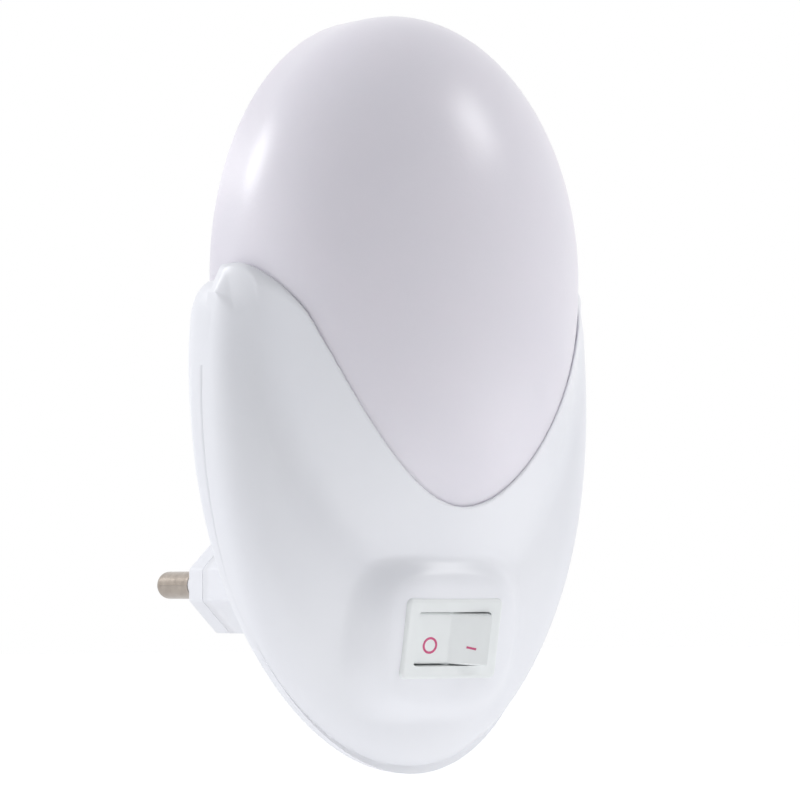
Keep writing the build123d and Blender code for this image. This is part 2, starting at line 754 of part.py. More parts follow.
# Light-emitting diodes and their legs
with BuildPart() as led_lamps:
    with BuildSketch(board_plane):
        with Locations(*lamp_places):
            Circle(lamp_flange_diameter / 2)
    extrude(amount=lamp_flange_height)
    with BuildSketch(board_plane.offset(lamp_flange_height)):
        with Locations(*lamp_places):
            Circle(lamp_diameter / 2)
    extrude(amount=lamp_height - lamp_flange_height)
    fillet(led_lamps.faces().sort_by(Axis.Y)[: len(lamp_places)].edges(), radius=lamp_dome_radius)
led_lamps.part.label = "led_lamps"
export_step(led_lamps.part, "parts/led_lamps.step")

with BuildPart() as led_legs:
    with BuildSketch(board_plane):
        with Locations(*leg_places):
            Rectangle(lamp_leg_size, lamp_leg_size)
    extrude(amount=-board_thickness - lamp_leg_tail)
led_legs.part.label = "led_legs"
export_step(led_legs.part, "parts/led_legs.step")

# Parts on the back of the board
with BuildPart() as dropper_capacitor:
    with BuildSketch(board_back_plane.offset(-part_lift)):
        with Locations((0, board_rise - film_drop_share * board_half_height)):
            RectangleRounded(film_width, film_height, film_corner)
    extrude(amount=-film_depth)
    fillet(dropper_capacitor.faces().sort_by(Axis.Y)[-1].edges(), radius=film_corner)
dropper_capacitor.part.label = "dropper_capacitor"
export_step(dropper_capacitor.part, "parts/dropper_capacitor.step")

can_place = (board_half_width - can_side_margin, board_rise + board_half_height - can_top_margin)
with BuildPart() as smoothing_capacitor:
    with BuildSketch(board_back_plane.offset(-part_lift)):
        with Locations(can_place):
            Circle(can_diameter / 2)
    extrude(amount=-can_depth)
    fillet(smoothing_capacitor.faces().sort_by(Axis.Y)[-1].edges(), radius=can_round)
    with BuildSketch(board_back_plane.offset(-part_lift - can_groove_rise)):
        with Locations(can_place):
            Circle(can_diameter / 2)
            Circle(can_diameter / 2 - can_groove, mode=Mode.SUBTRACT)
    extrude(amount=-can_groove_width, mode=Mode.SUBTRACT)
smoothing_capacitor.part.label = "smoothing_capacitor"
export_step(smoothing_capacitor.part, "parts/smoothing_capacitor.step")

bridge_place = (bridge_side_margin - board_half_width, board_rise + board_half_height - bridge_top_margin)
with BuildPart() as bridge_rectifier:
    with BuildSketch(board_back_plane.offset(-part_lift)):
        with Locations(bridge_place):
            Rectangle(bridge_width, bridge_height)
    extrude(amount=-bridge_depth)
    chamfer(bridge_rectifier.faces().sort_by(Axis.Y)[-1].edges(), length=bridge_edge)
bridge_rectifier.part.label = "bridge_rectifier"
export_step(bridge_rectifier.part, "parts/bridge_rectifier.step")

resistor_places = ((0, board_rise), (0, board_rise + resistor_spacing))
resistor_depth = resistor_diameter / 2 + part_lift - board_back
with BuildPart() as resistors:
    with BuildSketch(Plane((0, parting_y + resistor_depth, oval_rise), x_dir=(0, 1, 0), z_dir=(1, 0, 0))):
        with Locations(*resistor_places):
            Circle(resistor_diameter / 2)
    extrude(amount=resistor_length / 2, both=True)
    fillet(resistors.edges().filter_by(GeomType.CIRCLE), radius=resistor_round)
    with BuildSketch(Plane((0, parting_y + resistor_depth, oval_rise), x_dir=(0, 1, 0), z_dir=(1, 0, 0))):
        with Locations(*resistor_places):
            Circle(resistor_lead_diameter / 2)
    extrude(amount=resistor_lead_span / 2, both=True)
resistors.part.label = "resistors"
export_step(resistors.part, "parts/resistors.step")
print("board", circuit_board.part.is_valid, len(led_lamps.solids()), len(led_legs.solids()))

# Wires
inward = outward * -1
pin_tail_y = -(pin_seat + pin_collar_thickness + pin_tail_length + slip_gap)
rear_y = parting_y + rear_run_back
board_front_y = parting_y - board_forward
tab_tip = switch_plane.origin + inward * (switch_body_depth + tab_length + slip_gap)
end_tip = tab_tip - across * end_tab_offset
end_turn = end_tip + inward * ((rear_y - end_tip.Y) / inward.Y)
feed_knee = tab_tip + inward * feed_reach
feed_end = (pin_spacing / 2, pin_tail_y, 0)
feed_turn_point = (pin_spacing / 2, pin_tail_y - feed_turn, 0)
with BuildPart() as feed_wire:
    with BuildLine() as feed_route:
        FilletPolyline(tab_tip, feed_knee, feed_turn_point, feed_end, radius=feed_bend)
    with BuildSketch(Plane(feed_route.line @ 0, z_dir=feed_route.line % 0)):
        Circle(wire_diameter / 2)
    sweep(path=feed_route.line)
feed_wire.part.label = "feed_wire"
export_step(feed_wire.part, "parts/feed_wire.step")

switched_x, switched_z = wire_places[0][0], oval_rise + wire_places[0][1]
with BuildPart() as switched_wire:
    with BuildLine() as switched_route:
        FilletPolyline(
            end_tip,
            end_turn,
            (switched_x, rear_y, switched_z),
            (switched_x, board_front_y, switched_z),
            radius=wire_bend,
        )
    with BuildSketch(Plane(switched_route.line @ 0, z_dir=switched_route.line % 0)):
        Circle(wire_diameter / 2)
    sweep(path=switched_route.line)
switched_wire.part.label = "switched_wire"
export_step(switched_wire.part, "parts/switched_wire.step")

return_x, return_z = wire_places[1][0], oval_rise + wire_places[1][1]
with BuildPart() as return_wire:
    with BuildLine() as return_route:
        FilletPolyline(
            (-pin_spacing / 2, pin_tail_y, 0),
            (-pin_spacing / 2, rear_y, 0),
            (return_x, rear_y, return_z),
            (return_x, board_front_y, return_z),
            radius=wire_bend,
        )
    with BuildSketch(Plane(return_route.line @ 0, z_dir=return_route.line % 0)):
        Circle(wire_diameter / 2)
    sweep(path=return_route.line)
return_wire.part.label = "return_wire"
export_step(return_wire.part, "parts/return_wire.step")
wire_area = pi * wire_diameter**2 / 4
for made, route in ((feed_wire, feed_route), (switched_wire, switched_route), (return_wire, return_route)):
    print("wire", made.part.is_valid, made.part.volume, wire_area * route.wires()[0].length)

# Screws
with BuildPart() as board_screws:
    with BuildSketch(board_plane.offset(slip_gap)):
        with Locations(*board_places):
            Circle(post_screw_head_diameter / 2)
    extrude(amount=post_screw_head_height)
    head_faces = board_screws.faces().sort_by(Axis.Y)[: len(board_places)]
    fillet(head_faces.edges(), radius=post_screw_head_round)
    with BuildSketch(board_plane.offset(slip_gap)):
        with Locations(*board_places):
            Circle(post_screw_diameter / 2)
    extrude(amount=-board_thickness - post_screw_length + seat_gap)
    with BuildSketch(board_plane.offset(slip_gap + post_screw_head_height)):
        with Locations(*board_places):
            Rectangle(post_screw_head_diameter * driver_slot_share, driver_slot_width)
            Rectangle(driver_slot_width, post_screw_head_diameter * driver_slot_share)
    extrude(amount=-driver_slot_depth, mode=Mode.SUBTRACT)
board_screws.part.label = "board_screws"
export_step(board_screws.part, "parts/board_screws.step")

shell_seat = front_view.offset(shell_recess_depth - back_depth - slip_gap)
with BuildPart() as housing_screws:
    with BuildSketch(shell_seat):
        with Locations(*screw_places):
            Circle(shell_screw_head_diameter / 2)
    extrude(amount=-shell_screw_head_height)
    head_faces = housing_screws.faces().sort_by(Axis.Y)[-len(screw_places) :]
    fillet(head_faces.edges(), radius=shell_screw_head_round)
    with BuildSketch(shell_seat):
        with Locations(*screw_places):
            Circle(shell_screw_diameter / 2)
    extrude(amount=back_depth - shell_recess_depth + shell_screw_grip)
    with BuildSketch(shell_seat.offset(-shell_screw_head_height)):
        with Locations(*screw_places):
            Rectangle(shell_screw_head_diameter * driver_slot_share, driver_slot_width)
            Rectangle(driver_slot_width, shell_screw_head_diameter * driver_slot_share)
    extrude(amount=driver_slot_depth, mode=Mode.SUBTRACT)
housing_screws.part.label = "housing_screws"
export_step(housing_screws.part, "parts/housing_screws.step")
print("screws", len(board_screws.solids()), len(housing_screws.solids()))
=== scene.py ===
# %% [markdown]
# # Plug-in night light
# The real light is a white oval that hangs on a wall socket by its own plug. An opal egg covers the lamps,
# and a white cradle with two horns holds the egg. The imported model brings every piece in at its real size
# and place. This script gives the pieces their surfaces, so it starts by loading that model as a fixed
# frame.

import bmesh
import bpy
import numpy as np
from mathutils import Matrix, Vector


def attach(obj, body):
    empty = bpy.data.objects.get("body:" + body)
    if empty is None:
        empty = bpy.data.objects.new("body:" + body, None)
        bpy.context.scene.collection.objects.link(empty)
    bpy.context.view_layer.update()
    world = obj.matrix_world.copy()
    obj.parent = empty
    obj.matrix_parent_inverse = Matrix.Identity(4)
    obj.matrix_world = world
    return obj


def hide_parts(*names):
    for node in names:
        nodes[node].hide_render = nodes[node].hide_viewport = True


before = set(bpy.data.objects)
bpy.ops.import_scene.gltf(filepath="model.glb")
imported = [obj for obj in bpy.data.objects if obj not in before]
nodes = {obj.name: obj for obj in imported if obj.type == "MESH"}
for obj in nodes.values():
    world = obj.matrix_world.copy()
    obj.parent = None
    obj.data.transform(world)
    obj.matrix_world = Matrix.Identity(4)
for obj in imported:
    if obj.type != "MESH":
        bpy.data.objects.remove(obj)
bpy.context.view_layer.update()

bpy.context.scene.view_settings.view_transform = "Standard"

# %% [markdown]
# ## Sizes and the meeting forms
# All sizes are in millimetres. A point of the front is given by x across, q up from the oval's middle and
# its height f forward of the line where the two shells meet. The cradle could be drawn as a sculpted mesh,
# but it is really three plain forms that flow into each other: a shallow oval dome, the egg's lip and a low
# mound for the switch. Each is a formula for f, so the flow is a soft maximum of the three.

# %% Oval dome
parting_y, oval_rise = -26.0, 27.0
oval_half_width, oval_half_height = 31.5, 53.0
side_height, foot_crown, horn_crown, foot_rim, horn_rim = 1.2, 13.0, 8.2, 8.0, 5.2
crown_change_start, crown_change_length = -30.0, 38.0


def smooth_step(v):
    """Runs from 0 to 1 as 3 v^2 - 2 v^3."""
    v = np.clip(v, 0, 1)
    return v * v * (3 - 2 * v)


def dome_height(x, q):
    """A shallow crown arc that runs into a rim arc, turned about the front axis and stretched to the oval.

    Crown and rim both shrink smoothly from the foot up to the horns."""
    rise = smooth_step((q - crown_change_start) / crown_change_length)
    crown_height = foot_crown + (horn_crown - foot_crown) * rise
    rim_radius = foot_rim + (horn_rim - foot_rim) * rise
    r = np.hypot(x, q * oval_half_width / oval_half_height)
    reach, above = oval_half_width - rim_radius, crown_height - rim_radius
    middle = (above**2 - side_height**2 - reach**2) / (2 * (above - side_height))
    radius = crown_height - middle
    meet = reach * radius / (radius - rim_radius)
    crown = middle + np.sqrt(np.maximum(radius**2 - r**2, 0))
    rim = side_height + np.sqrt(np.maximum(rim_radius**2 - (r - reach) ** 2, 0))
    return np.where(r < meet, crown, rim)


print("dome crown", dome_height(np.zeros(1), np.zeros(1)))

# %% Egg and its lip
egg_half_width, egg_upper_height, egg_lower_height, egg_bulge = 27.0, 37.0, 43.8, 23.5
egg_rise, egg_setback, outside_egg = 15.5, 0.1, -9.0
lip_proud, flank_share = 0.4, 0.93


def egg_height(x, q, grow=0.0):
    """Front of an ellipsoid whose lower half is longer than its upper one, grown on every side.

    Outside its outline the height is well behind the parting line."""
    half_height = np.where(q > egg_rise, egg_upper_height, egg_lower_height)
    left = 1 - (x / (egg_half_width + grow)) ** 2 - ((q - egg_rise) / (half_height + grow)) ** 2
    front = (egg_bulge + grow) * np.sqrt(np.maximum(left, 0)) - egg_setback
    return np.where(left > 0, front, outside_egg)


def lip_height(x, q):
    """The grown egg, continued past a share of its radius by its own tangent.

    Its flank therefore never stands upright."""
    half_height = np.where(q > egg_rise, egg_upper_height, egg_lower_height) + lip_proud
    share = np.hypot(x / (egg_half_width + lip_proud), (q - egg_rise) / half_height)
    left = np.sqrt(1 - np.minimum(share, flank_share) ** 2)
    beyond = np.maximum(share - flank_share, 0) * flank_share / np.sqrt(1 - flank_share**2)
    return (egg_bulge + lip_proud) * (left - beyond) - egg_setback


print("egg front", egg_height(np.zeros(1), np.full(1, egg_rise)))

# %% Switch mound, and the flow between the forms
switch_drop, switch_tilt = 34.3, np.radians(11.0)
mound_forward, mound_lift, mound_slope, mound_soft = 13.3, 0.42, 1.9, 1.5
mound_half_width, mound_half_height, mound_power = 11.2, 9.6, 3.0
lip_flow, mound_flow = 8.0, 2.4


def mound_height(x, q):
    """A tilted flat over a superellipse. Outside it falls away at a constant slope, with a soft shoulder."""
    up = (q + switch_drop) / np.cos(switch_tilt)
    flat = mound_forward + mound_lift + (q + switch_drop) * np.tan(switch_tilt)
    share = np.abs(x / mound_half_width) ** mound_power + np.abs(up / mound_half_height) ** mound_power
    away = (share ** (1 / mound_power) - 1) * np.sqrt(mound_half_width * mound_half_height)
    return flat - mound_slope * 0.5 * (away + np.hypot(away, mound_soft))


def soft_max(a, b, width):
    """The larger of two heights, with the crease between them filled over the given width."""
    return np.maximum(a, b) + np.maximum(width - np.abs(a - b), 0) ** 2 / (4 * width)


def cradle_height(x, q):
    """Dome, egg lip and switch mound run into one skin."""
    lip = soft_max(dome_height(x, q), lip_height(x, q), lip_flow)
    return soft_max(lip, mound_height(x, q), mound_flow)


print("height at the switch", cradle_height(np.zeros(1), np.full(1, -switch_drop)))

# %% [markdown]
# ## From a grid to a mesh
# Every new piece but the back shell is a grid of points. One function turns such a grid into a mesh object:
# the points go in as one list, the faces are the grid's squares, doubles at poles and seams are merged and
# the faces are turned outwards. The object stays at the origin, with its place in its vertices, as the
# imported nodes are.

# %% Grid to mesh
mm, mm_per_metre = 0.001, 1000
same_grid_point, same_point = 2e-6, 1e-6
sharp_turn = np.radians(40)


def grid_object(name, across, forward, up, body, keep=None, close=False):
    """Rows and columns of points in millimetres become squares; close joins the last column to the first."""
    rows, columns = across.shape
    points = np.stack([across, parting_y - forward, oval_rise + up], axis=-1).reshape(-1, 3) * mm
    index = np.arange(rows * columns).reshape(rows, columns)
    if close:
        index = np.concatenate([index, index[:, :1]], axis=1)
    corners = [index[:-1, :-1], index[:-1, 1:], index[1:, 1:], index[1:, :-1]]
    squares = np.stack(corners, axis=-1).reshape(-1, 4)
    if keep is not None:
        squares = squares[keep.reshape(-1)]
    mesh = bpy.data.meshes.new(name)
    mesh.from_pydata(points.tolist(), [], squares.tolist())
    work = bmesh.new()
    work.from_mesh(mesh)
    bmesh.ops.remove_doubles(work, verts=work.verts, dist=same_grid_point)
    bmesh.ops.dissolve_degenerate(work, edges=work.edges, dist=same_point)
    loose = [v for v in work.verts if not v.link_faces]
    bmesh.ops.delete(work, geom=loose, context="VERTS")
    bmesh.ops.recalc_face_normals(work, faces=work.faces)
    work.to_mesh(mesh)
    work.free()
    mesh.shade_smooth()
    mesh.set_sharp_from_angle(angle=sharp_turn)
    made = bpy.data.objects.new(name, mesh)
    bpy.context.scene.collection.objects.link(made)
    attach(made, body)
    print(name, len(mesh.polygons), "faces")
    return made


print("faces that turn by more than", round(float(np.degrees(sharp_turn))), "degrees meet in a sharp edge")

# %% [markdown]
# ## The diffuser
# The egg is blown or moulded in one piece, so it has no edge anywhere in front. A sphere primitive would
# have to be stretched and cut. Here one profile, from the front pole round the rim, back along the skirt
# and up the inside, is carried round the egg's axis: two parameters give the whole shell with its wall. The
# skirt fades out towards the foot, where it would run through the screw seats.

# %% Profile of the egg
skirt_length, diffuser_wall = 5.6, 2.4
front_rows, skirt_rows, egg_columns = 72, 6, 288


def egg_profile(inset):
    """Share of the half sizes and forward height: a quarter ellipse, then straight back for the skirt."""
    turn = np.linspace(0, np.pi / 2, front_rows)
    share = np.concatenate([np.sin(turn), np.ones(skirt_rows)])
    back = np.linspace(-skirt_length / skirt_rows, -skirt_length, skirt_rows)
    height = np.concatenate([(egg_bulge - inset) * np.cos(turn), back])
    return share, height - egg_setback


outer_share, outer_height = egg_profile(0)
inner_share, inner_height = egg_profile(diffuser_wall)
inner_half_width = egg_half_width - diffuser_wall
half_width = np.concatenate([outer_share * egg_half_width, inner_share[::-1] * inner_half_width])
forward = np.concatenate([outer_height, inner_height[::-1]])
print("profile", forward.size, "points")

# %% Diffuser shell
skirt_fade_start, skirt_fade_length = -6.0, 14.0
round_egg = np.linspace(0, 2 * np.pi, egg_columns, endpoint=False)
round_height = np.where(np.sin(round_egg) > 0, egg_upper_height, egg_lower_height)
half_height = np.concatenate(
    [outer_share[:, None] * round_height, inner_share[::-1, None] * (round_height - diffuser_wall)]
)
rim_rise = egg_rise + half_height[front_rows - 1] * np.sin(round_egg)
skirt_share = smooth_step((rim_rise - skirt_fade_start) / skirt_fade_length)
before_rim, past_rim = np.maximum(forward, -egg_setback), np.minimum(forward + egg_setback, 0)
diffuser = grid_object(
    "opal_diffuser",
    half_width[:, None] * np.cos(round_egg),
    before_rim[:, None] + past_rim[:, None] * skirt_share,
    egg_rise + half_height * np.sin(round_egg),
    "light",
    close=True,
)
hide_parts("diffuser")

# %% [markdown]
# ## The cradle's outline
# Seen from the front the cradle is a crescent: the oval is its outer edge and the U-shaped neck its inner
# one, and the horns are its two ends. The neck is two cubic curves, a small shoulder and a straight slide
# to the oval, the same ones that shape the solid. They are sampled here for the right half, and the left
# half is their mirror image.

# %% Curve helpers
def cubic_curve(points, count):
    """Four points weighted by the binomial terms of the parameter, from the first point to the last."""
    t = np.linspace(0, 1, count)[:, None]
    p = np.asarray(points, float)
    return (1 - t) ** 3 * p[0] + 3 * (1 - t) ** 2 * t * p[1] + 3 * (1 - t) * t**2 * p[2] + t**3 * p[3]


def resample(line, share):
    """Points at given shares of a polyline's length."""
    step = np.r_[0, np.cumsum(np.hypot(*np.diff(line, axis=0).T))]
    return np.stack([np.interp(share * step[-1], step, line[:, k]) for k in (0, 1)], axis=-1)


print("middle of a straight line", resample(np.array([(0.0, 0.0), (2.0, 2.0)]), np.array([0.5])))

# %% Neck curve and oval
neck_bottom, neck_bend, neck_top = (0, -16.4), (19.2, 1.5), (28.0, 16.5)
low_handles, high_handles = ((8.0, -16.4), (15.44, -5.56)), ((23.19, 9.0), (25.4, 16.5))
tip_radius, tip_turn, slide_length = 1.2, np.radians(65.0), 6.0
curve_points, shoulder_points, slide_points = 200, 30, 600
low_neck = cubic_curve([neck_bottom, *low_handles, neck_bend], curve_points)
high_neck = cubic_curve([neck_bend, *high_handles, neck_top], curve_points)
turn = np.linspace(0, tip_turn, shoulder_points)
shoulder_x = neck_top[0] + tip_radius * np.sin(turn)
shoulder_q = neck_top[1] - tip_radius * (1 - np.cos(turn))
shoulder = np.stack([shoulder_x, shoulder_q], axis=-1)
slide_way = np.array([np.cos(tip_turn), -np.sin(tip_turn)])
slide = shoulder[-1] + np.linspace(0, slide_length, slide_points)[:, None] * slide_way
slide = slide[np.hypot(slide[:, 0] / oval_half_width, slide[:, 1] / oval_half_height) <= 1]
edge_line = np.concatenate([low_neck, high_neck[1:], shoulder[1:], slide[1:]])
horn_angle = np.arctan2(edge_line[-1, 1] / oval_half_height, edge_line[-1, 0] / oval_half_width)
print("horn ends at", edge_line[-1].round(2), "oval angle", round(float(np.degrees(horn_angle)), 1))

# %% [markdown]
# ## The cradle
# A patch is stretched over the crescent: one parameter runs along the neck from the middle to the horn, the
# other from the oval to the neck. The rows crowd where the skin bends most, at the rim and at the lip. Near
# the neck and over the horn's end the skin is rolled down by a quarter circle, with a radius that grows
# from the thin lip to the full round of the horn, and walls then run back to the parting line and behind
# the egg. At the foot the rim leans forward, as the back shell's edge does, so the two stay together.

# %% Cradle patch
patch_columns, patch_rows = 210, 96
foot_pace, rim_crowding = 3.0, 0.85
along = np.linspace(0, 1, patch_columns)
neck_points = resample(edge_line, along)
oval_angle = -np.pi / 2 + (horn_angle + np.pi / 2) * foot_pace * along / (1 + (foot_pace - 1) * along)
oval_points = np.stack([oval_half_width * np.cos(oval_angle), oval_half_height * np.sin(oval_angle)], axis=-1)
to_neck = 0.5 * (1 - np.cos(np.pi * np.linspace(0, 1, patch_rows) ** rim_crowding))
patch = oval_points[None] + to_neck[:, None, None] * (neck_points - oval_points)[None]
print("patch", patch.shape)

# %% Skin of the patch, with its rolled edges
lip_radius, horn_radius = 0.5, 3.8
round_start, round_length, round_power = 9.0, 7.0, 1.5
roll_floor, least_roll = 0.9, 0.2
edge_round = np.clip((edge_line[:, 1] - round_start) / round_length, 0, 1) ** round_power
edge_radius = lip_radius + (horn_radius - lip_radius) * edge_round
# Past the two curves, on the shoulder and the slide, the edge has its full round.
edge_radius[len(low_neck) + len(high_neck) - 1 :] = horn_radius
flat_points = patch.reshape(-1, 2)
gaps = np.hypot(flat_points[:, :1] - edge_line[:, 0], flat_points[:, 1:] - edge_line[:, 1])
nearest = gaps.argmin(axis=1).reshape(patch.shape[:2])
distance = gaps.min(axis=1).reshape(patch.shape[:2])
skin = cradle_height(patch[..., 0], patch[..., 1])
radius = np.clip(np.minimum(edge_radius[nearest], skin - roll_floor), least_roll, None)
skin = skin - (radius - np.sqrt(radius**2 - np.maximum(radius - distance, 0) ** 2))
print("skin from", skin.min().round(2), "to", skin.max().round(2))

# %% Walls behind the skin
rim_overlap, rim_proud, rim_level = 0.35, 0.05, 0.1
tuck_depth, least_lip, cradle_wall = 1.2, 0.3, 1.8
wall_inset, wall_inset_share, inner_step, least_length = 1.6, 0.3, 6, 1e-6
normal = np.stack([np.cos(oval_angle) / oval_half_width, np.sin(oval_angle) / oval_half_height], axis=-1)
normal /= np.hypot(*normal.T)[:, None]
behind_egg = np.maximum(egg_height(neck_points[:, 0], neck_points[:, 1], -tuck_depth), 0)
behind_egg = np.minimum(behind_egg, skin[-1] - least_lip)
rim_points = oval_points + rim_proud * normal
crossing = neck_points - oval_points
crossing_length = np.hypot(*crossing.T)
inset = np.minimum(wall_inset, wall_inset_share * crossing_length)[:, None]
inward = crossing / np.maximum(crossing_length, least_length)[:, None]
back_rows = to_neck[::-inner_step, None, None]
inner_rim, inner_neck = oval_points - inset * normal, neck_points - inset * inward
inner = inner_rim[None] * (1 - back_rows) + inner_neck[None] * back_rows
inner_skin = np.maximum(np.minimum(skin[::-inner_step] - cradle_wall, behind_egg), 0)
outline = np.concatenate([rim_points[None], rim_points[None], patch, neck_points[None], inner])
x, q = outline[..., 0], outline[..., 1]
rim_foot, rim_top = np.full((1, patch_columns), -rim_overlap), np.full((1, patch_columns), rim_level)
f = np.concatenate([rim_foot, rim_top, skin, behind_egg[None], inner_skin])
print("skin and walls", f.shape)

# %% Leaning foot, and the mirrored half
lean_reach, lean_start, lean_length, lean_power = 3.5, 26.0, 22.0, 1.3


def parting_lean(q):
    """How far the parting line leans forward: a power of the drop below the point where the lean starts."""
    return lean_reach * (np.maximum(-q - lean_start, 0) / lean_length) ** lean_power


# The rows that lean are the rim's top, the skin, the wall at the neck and the first row inside.
lifted = slice(1, patch_rows + 4)
foot_lean = parting_lean(q)
f[lifted] = np.maximum(f[lifted], foot_lean[lifted])
f[0] = f[0] + foot_lean[0]
x, q, f = (np.concatenate([part, part[:1]]) for part in (x, q, f))
signs = ((x, -1), (q, 1), (f, 1))
x, q, f = (np.concatenate([sign * part[:, :0:-1], part], axis=1) for part, sign in signs)
print("both halves", x.shape, "highest", f.max().round(2))

# %% Opening for the switch, and the finished cradle
hole_half_width, hole_half_height = 7.2, 4.7


def square_middles(grid):
    """Mean of the four corners of every square."""
    return 0.25 * (grid[:-1, :-1] + grid[1:, :-1] + grid[:-1, 1:] + grid[1:, 1:])


beside = np.abs(square_middles(x)) > hole_half_width
over = np.abs(square_middles(q) + switch_drop) > hole_half_height
cradle = grid_object("cradle_housing", x, f, q, "light", keep=beside | over)
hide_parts("front_housing")

# %% [markdown]
# ## The horns' rounded ends
# Each horn ends in a soft finger tip in which front and back run together. Filleting the two shells would
# leave a seam, so the tip is a bullet of its own: a rounded bar that sinks into the shells at its lower end
# and closes in a dome at its upper one. Its cross-section is a superellipse, which is fuller than an
# ellipse.

# %% Horn ends
tip_start, tip_height, tip_foot, tip_sink, tip_proud = 9.2, 5.4, -12.0, 0.55, 0.12
tip_half_width, tip_half_depth, tip_back, tip_power = 2.4, 5.05, 1.05, 2.5
tip_bar_rows, tip_dome_rows, tip_columns, first_dome_turn = 60, 40, 96, 0.04


def horn_end(name, side):
    """Cross-section |u|^n + |v|^n = 1, carried up along the oval.

    Above the start both halves close the same way."""
    bar = np.linspace(tip_foot, tip_start, tip_bar_rows)
    dome = tip_start + tip_height * np.sin(np.linspace(first_dome_turn, np.pi / 2, tip_dome_rows))
    rise = np.concatenate([bar, dome])
    close = np.clip((rise - tip_start) / tip_height, 0, 1)
    shrink = np.maximum(1 - close**tip_power, 0) ** (1 / tip_power)
    sink = tip_sink * (1 - smooth_step((rise - tip_foot) / (tip_start - tip_foot)))
    turn = np.linspace(0, 2 * np.pi, tip_columns, endpoint=False)
    u = np.sign(np.cos(turn)) * np.abs(np.cos(turn)) ** (2 / tip_power)
    v = np.sign(np.sin(turn)) * np.abs(np.sin(turn)) ** (2 / tip_power)
    spine = oval_half_width * np.sqrt(1 - (rise / oval_half_height) ** 2) - tip_half_width + tip_proud
    x = side * (spine[:, None] + ((tip_half_width - sink) * shrink)[:, None] * u)
    f = -tip_back + ((tip_half_depth - sink) * shrink)[:, None] * v
    made = grid_object(name, x, f, np.repeat(rise[:, None], turn.size, axis=1), "light", close=True)
    return made


horn_ends = [horn_end("left_horn_end", -1), horn_end("right_horn_end", 1)]

# %% [markdown]
# ## The back shell
# The back shell is a tray that carries the plug. Towards the foot its edge leans forward, so the light
# looks slimmer from the side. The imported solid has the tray, plug and screw seats already, so a copy of it
# is merged, cut finely and leaned by a formula near its edge. The horns' tops are trimmed to make room for
# their rounded ends, and every other face stays where it was.

# %% Refine a copied mesh
longest_edge, most_halvings = 2.5, 6


def refine(mesh, longest):
    """Merges a copied mesh, then halves edges longer than the given millimetres, a few rounds at most."""
    work = bmesh.new()
    work.from_mesh(mesh)
    bmesh.ops.remove_doubles(work, verts=work.verts, dist=same_point)
    for _ in range(most_halvings):
        long_edges = [edge for edge in work.edges if edge.calc_length() > longest * mm]
        if not long_edges:
            break
        bmesh.ops.subdivide_edges(work, edges=long_edges, cuts=1)
        bmesh.ops.triangulate(work, faces=[face for face in work.faces if len(face.verts) > 3])
    work.to_mesh(mesh)
    work.free()


back_mesh = nodes["back_shell"].data.copy()
refine(back_mesh, longest_edge)
print("back shell", len(back_mesh.polygons), "faces")

# %% Lean the foot of the back shell
back_depth, depth_slack = 6.0, 0.01
edge_start, edge_length = 0.86, 0.13
back_reach, back_drop, back_power = 6.0, 50.0, 1.6
horn_top, horn_margin = 11.2, 0.2


def lean(points):
    """Moves the edge forward by powers of the drop below the middle, and trims the horns to one height.

    The share of the move grows smoothly towards the oval. Its reach changes evenly from the parting line to
    the back."""
    x, y, z = points.T * mm_per_metre
    f, q = parting_y - y, z - oval_rise
    edge = smooth_step((np.hypot(x / oval_half_width, q / oval_half_height) - edge_start) / edge_length)
    at_back = back_reach * (np.maximum(-q, 0) / back_drop) ** back_power
    at_parting = parting_lean(q)
    share = np.clip(-f / back_depth, 0, 1)
    f = f + edge * (f > -back_depth - depth_slack) * (at_parting + (at_back - at_parting) * share)
    horn = np.abs(x) > egg_half_width - horn_margin
    q = np.where(horn, np.minimum(q, horn_top), q)
    return np.stack([x, parting_y - f, q + oval_rise], axis=-1) * mm


points = np.empty(3 * len(back_mesh.vertices))
back_mesh.vertices.foreach_get("co", points)
back_mesh.vertices.foreach_set("co", lean(points.reshape(-1, 3)).reshape(-1))
back_mesh.shade_smooth()
back_mesh.set_sharp_from_angle(angle=sharp_turn)
back_mesh.update()
leaning_back = bpy.data.objects.new("leaning_back_shell", back_mesh)
bpy.context.scene.collection.objects.link(leaning_back)
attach(leaning_back, "light")
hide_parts("back_shell")
print("the foot's edge leans forward by about", lean_reach, "to", back_reach, "mm")

# %% [markdown]
# ## Marks on the rocker
# The two positions are printed in pink-red ink: a ring for off and a bar for on. Ink is a thin film, so
# each mark is a raised strip a few hundredths of a millimetre thick, laid on the sloping half of the
# rocker's top. An image would do on a screen, but a strip is real geometry: a flat path carried across its
# width, in the rocker's own directions.

# %% Directions of the rocker
bezel_recess, pivot_rise, middle_rise = 1.4, 0.4, 1.05
throw, half_slope = np.radians(11.0), np.radians(10.0)
outward = np.array([0, -np.cos(switch_tilt), -np.sin(switch_tilt)])
across = np.array([1.0, 0, 0])
downward = np.cross(across, outward)
bezel_middle = np.array([0, parting_y - mound_forward, oval_rise - switch_drop])
pivot = bezel_middle + (pivot_rise - bezel_recess) * outward
rocker_across = across * np.cos(throw) + outward * np.sin(throw)
rocker_out = outward * np.cos(throw) - across * np.sin(throw)
print("rocker turns about", pivot.round(2))

# %% Ring and bar
ink_top_share, ink_sink, ink_lift = 0.46, 0.02, 0.03
ring_centre, ring_radii, ring_width, ring_points = (-3.15, 0.95), (1.02, 1.0), 0.34, 96
bar_ends, bar_level, bar_slant, bar_width, bar_points = (2.5, 3.9), 1.15, 0.1, 0.32, 24


